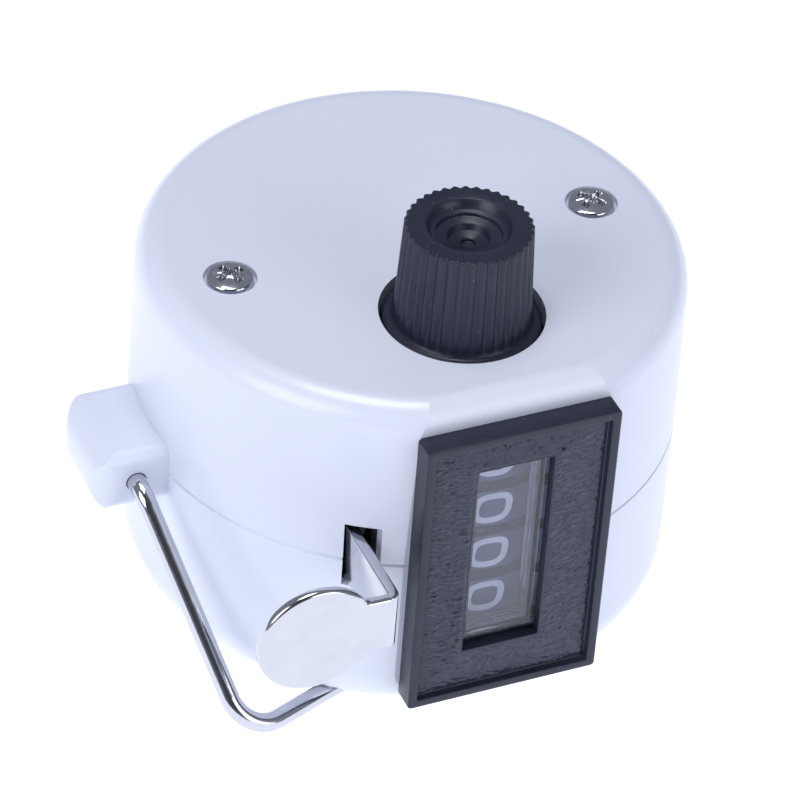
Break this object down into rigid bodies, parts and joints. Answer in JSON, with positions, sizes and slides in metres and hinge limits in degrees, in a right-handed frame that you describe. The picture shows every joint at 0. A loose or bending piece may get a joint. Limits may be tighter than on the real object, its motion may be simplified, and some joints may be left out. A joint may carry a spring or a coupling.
{
  "type": "hand tally counter",
  "caption": "Round hand tally counter: two-shell case with a framed window over number wheels, reset knob, sprung thumb lever and a fold-under wire finger ring.",
  "frame": {"origin": "centre of the flat back face, the face it rests on", "axes": "+Z along the case axis towards the reset knob, -Y out of the window, X through the two case screws with the finger ring's lug at -X"},
  "size_m": [0.0498, 0.0484, 0.0393],
  "materials": {
    "white_plastic": "glossy moulded plastic",
    "black_plastic": "satin moulded plastic, grained panel",
    "clear_plastic": "clear acrylic",
    "nickel": "bright nickel plate",
    "steel": "plain steel",
    "spring_steel": "spring steel",
    "brass": "turned and stamped brass",
    "wheel_black": "dark moulded plastic with white numerals",
    "acetal": "natural acetal"
  },
  "bodies": {
    "case": {"lower_housing": "white_plastic", "upper_housing": "white_plastic", "housing_screws": "nickel", "bezel": "black_plastic", "window_lens": "clear_plastic", "lower_plate": "steel", "upper_plate": "steel", "frame_pillars": "brass", "transfer_shaft": "steel", "transfer_spacers": "acetal", "check_spring": "spring_steel", "spring_seat": "white_plastic", "end_washers": "steel", "lever_spring": "spring_steel"},
    "reset_shaft": {"main_shaft": "steel", "reset_knob": "black_plastic", "shaft_clip": "nickel"},
    "thousands_wheel": {"thousands_wheel": "wheel_black"},
    "hundreds_wheel": {"hundreds_wheel": "wheel_black"},
    "tens_wheel": {"tens_wheel": "wheel_black"},
    "units_wheel": {"units_wheel": "wheel_black", "ratchet": "brass"},
    "thousands_pinion": {"thousands_pinion": "acetal"},
    "hundreds_pinion": {"hundreds_pinion": "acetal"},
    "tens_pinion": {"tens_pinion": "acetal"},
    "lever": {"thumb_lever": "nickel", "pawl_pin": "steel"},
    "pawl": {"drive_pawl": "brass"},
    "finger_ring": {"finger_ring": "nickel"}
  },
  "joints": [
    {"name": "reset_knob_spin", "type": "hinge", "parent": "case", "child": "reset_shaft", "pos_m": [0, -0.0096, 0.031], "axis": [0, 0, 1], "continuous": true},
    {"name": "units_wheel_spin", "type": "hinge", "parent": "case", "child": "units_wheel", "pos_m": [0, -0.0096, 0.0236], "axis": [0, 0, 1], "continuous": true},
    {"name": "tens_wheel_spin", "type": "hinge", "parent": "case", "child": "tens_wheel", "pos_m": [0, -0.0096, 0.0191], "axis": [0, 0, 1], "continuous": true},
    {"name": "hundreds_wheel_spin", "type": "hinge", "parent": "case", "child": "hundreds_wheel", "pos_m": [0, -0.0096, 0.0146], "axis": [0, 0, 1], "continuous": true},
    {"name": "thousands_wheel_spin", "type": "hinge", "parent": "case", "child": "thousands_wheel", "pos_m": [0, -0.0096, 0.0101], "axis": [0, 0, 1], "continuous": true},
    {"name": "tens_pinion_spin", "type": "hinge", "parent": "case", "child": "tens_pinion", "pos_m": [0, 0.0023, 0.02135], "axis": [0, 0, 1], "continuous": true},
    {"name": "hundreds_pinion_spin", "type": "hinge", "parent": "case", "child": "hundreds_pinion", "pos_m": [0, 0.0023, 0.01685], "axis": [0, 0, 1], "continuous": true},
    {"name": "thousands_pinion_spin", "type": "hinge", "parent": "case", "child": "thousands_pinion", "pos_m": [0, 0.0023, 0.01235], "axis": [0, 0, 1], "continuous": true},
    {"name": "lever_slide", "type": "slide", "parent": "case", "child": "lever", "axis": [0, 1, 0], "range_m": [0, 0.004], "stiffness_N_per_m": 400, "springref_m": -0.0005, "deforming": ["lever_spring"]},
    {"name": "pawl_swing", "type": "hinge", "parent": "lever", "child": "pawl", "pos_m": [-0.0103, -0.0135, 0.0255], "axis": [0, 0, 1], "range_deg": [0, 10], "stiffness_Nm_per_rad": 0.00002, "springref_deg": -2.86},
    {"name": "finger_ring_hinge", "type": "hinge", "parent": "case", "child": "finger_ring", "pos_m": [-0.0243, 0.0004, 0.0162], "axis": [0, 1, 0], "range_deg": [0, 180]}
  ],
  "couplings": [
    {"joint": "tens_pinion_spin", "follows": "tens_wheel_spin", "ratio": -2.5},
    {"joint": "hundreds_pinion_spin", "follows": "hundreds_wheel_spin", "ratio": -2.5},
    {"joint": "thousands_pinion_spin", "follows": "thousands_wheel_spin", "ratio": -2.5}
  ]
}
